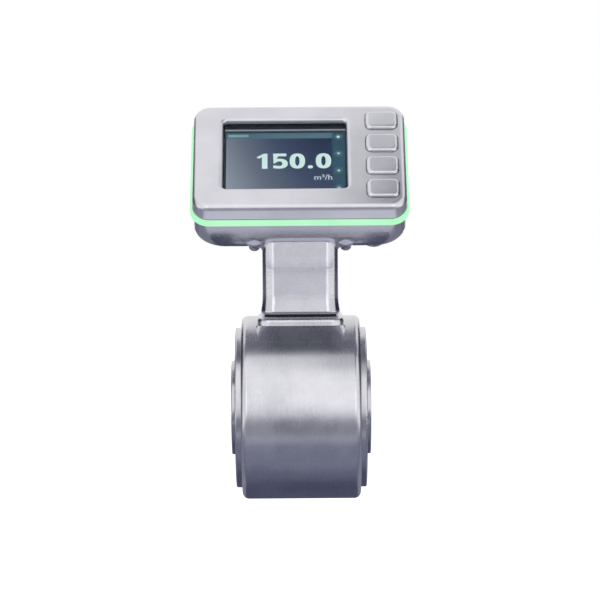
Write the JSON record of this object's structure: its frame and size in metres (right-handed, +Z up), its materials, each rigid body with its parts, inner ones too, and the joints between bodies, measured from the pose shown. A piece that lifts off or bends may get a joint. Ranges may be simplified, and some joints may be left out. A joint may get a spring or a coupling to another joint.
{
  "type": "electromagnetic flow meter",
  "caption": "Hygienic inline flow meter with a drum-shaped steel sensor, square neck, tilted display head, press keys and a lit status ring.",
  "frame": {"origin": "centre of the measuring tube, where the neck's axis crosses the flow axis", "axes": "+X along the flow, to the right of someone who reads the display; +Z up the neck; the display faces -Y and is tilted up by 45 degrees"},
  "size_m": [0.105, 0.089, 0.1902],
  "materials": {
    "brushed_stainless_steel": "ground all round the drum, fine lines",
    "turned_stainless_steel": "turned",
    "polished_stainless_steel": "cast and polished, silk gloss",
    "blasted_stainless_steel": "fine blasted, satin",
    "liner_plastic": "machined",
    "electrode_alloy": "turned",
    "soft_iron": "bare",
    "bobbin_plastic": "moulded",
    "copper_wire": "enamelled winding",
    "circuit_board": "solder mask",
    "brass_pillar": "turned",
    "seal_rubber": "moulded",
    "screw_steel": "polished",
    "light_ring_plastic": "translucent, lit from inside",
    "light_bar_board": "white solder mask",
    "window_glass": "clear",
    "display_screen": "lit colour display",
    "black_plastic": "moulded",
    "connector_steel": "turned",
    "gold_contact": "plated",
    "cable_sheath": "extruded"
  },
  "bodies": {
    "housing": {"board_screws": "screw_steel", "body_housing": "brushed_stainless_steel", "bore_seals": "seal_rubber", "coil_bobbin_lower": "bobbin_plastic", "coil_bobbin_upper": "bobbin_plastic", "connector_body": "connector_steel", "connector_insert": "black_plastic", "connector_lead": "cable_sheath", "connector_nut": "connector_steel", "connector_pins": "gold_contact", "connector_seal": "seal_rubber", "display_frame": "black_plastic", "display_panel": "display_screen", "electrode_front": "electrode_alloy", "electrode_nuts": "electrode_alloy", "electrode_rear": "electrode_alloy", "electrode_sleeves": "liner_plastic", "end_flange_left": "turned_stainless_steel", "end_flange_right": "turned_stainless_steel", "field_coil_lower": "copper_wire", "field_coil_upper": "copper_wire", "front_bezel": "blasted_stainless_steel", "full_pipe_electrode": "electrode_alloy", "key_board": "circuit_board", "key_board_spacers": "brass_pillar", "key_switches": "black_plastic", "light_bars": "light_bar_board", "light_ring": "light_ring_plastic", "magnet_yoke": "soft_iron", "main_board": "circuit_board", "measuring_tube": "turned_stainless_steel", "neck_screws": "screw_steel", "neck_seal": "seal_rubber", "pole_shoe_lower": "soft_iron", "pole_shoe_upper": "soft_iron", "rear_housing": "polished_stainless_steel", "ring_seal_front": "seal_rubber", "ring_seal_rear": "seal_rubber", "sensor_board": "circuit_board", "sensor_board_pillars": "brass_pillar", "shell_screw_seals": "seal_rubber", "shell_screws": "screw_steel", "signal_cable": "cable_sheath", "signal_plug": "black_plastic", "tube_liner": "liner_plastic", "vent_plug": "connector_steel", "window_gasket": "seal_rubber", "window_glass": "window_glass"},
    "key_1": {"key_cap_1": "blasted_stainless_steel", "key_seal_1": "seal_rubber", "switch_plunger_1": "black_plastic"},
    "key_2": {"key_cap_2": "blasted_stainless_steel", "key_seal_2": "seal_rubber", "switch_plunger_2": "black_plastic"},
    "key_3": {"key_cap_3": "blasted_stainless_steel", "key_seal_3": "seal_rubber", "switch_plunger_3": "black_plastic"},
    "key_4": {"key_cap_4": "blasted_stainless_steel", "key_seal_4": "seal_rubber", "switch_plunger_4": "black_plastic"}
  },
  "joints": [
    {"name": "key_1_press", "type": "slide", "parent": "housing", "child": "key_1", "axis": [0, 0.7071, -0.7071], "range_m": [0, 0.0008], "stiffness_N_per_m": 800, "springref_m": -0.002},
    {"name": "key_2_press", "type": "slide", "parent": "housing", "child": "key_2", "axis": [0, 0.7071, -0.7071], "range_m": [0, 0.0008], "stiffness_N_per_m": 800, "springref_m": -0.002},
    {"name": "key_3_press", "type": "slide", "parent": "housing", "child": "key_3", "axis": [0, 0.7071, -0.7071], "range_m": [0, 0.0008], "stiffness_N_per_m": 800, "springref_m": -0.002},
    {"name": "key_4_press", "type": "slide", "parent": "housing", "child": "key_4", "axis": [0, 0.7071, -0.7071], "range_m": [0, 0.0008], "stiffness_N_per_m": 800, "springref_m": -0.002}
  ]
}
